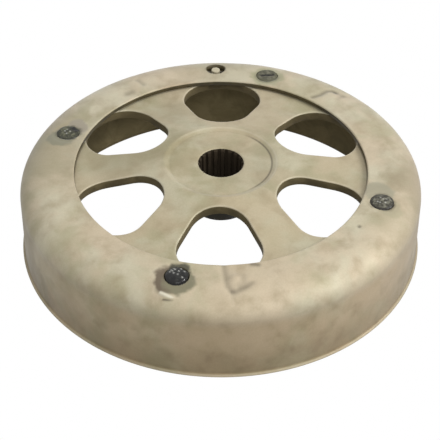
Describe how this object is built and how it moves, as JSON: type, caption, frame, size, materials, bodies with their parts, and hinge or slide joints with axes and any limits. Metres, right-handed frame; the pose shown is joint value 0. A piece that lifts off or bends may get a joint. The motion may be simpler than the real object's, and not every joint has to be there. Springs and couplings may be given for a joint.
{
  "type": "clutch drum",
  "caption": "Shallow round steel clutch drum, open underneath, with a windowed spider plate welded under its flange and a splined hub in the middle.",
  "frame": {"origin": "on the spin axis, in the plane of the open rim that the drum stands on", "axes": "+Z along the spin axis from the open rim to the flange face; the front plug weld is near -Y, the locating hole near +Y"},
  "size_m": [0.1342, 0.1342, 0.0314],
  "materials": {
    "drum_steel": "dull heat-treated steel, mottled beige grey, lightly stained",
    "plate_steel": "dull stamped steel, mottled beige grey",
    "hub_steel": "turned steel, dull beige face and dark oiled barrel",
    "weld_bead": "dark heat-tinted weld bead, satin",
    "plug_weld": "near-black glassy weld crust"
  },
  "bodies": {
    "root": {"drum_shell": "drum_steel", "spider_plate": "plate_steel", "splined_hub": "hub_steel", "hub_weld": "weld_bead", "plug_weld_left": "plug_weld", "plug_weld_rear": "plug_weld", "plug_weld_right": "plug_weld", "plug_weld_front": "plug_weld"}
  },
  "joints": []
}
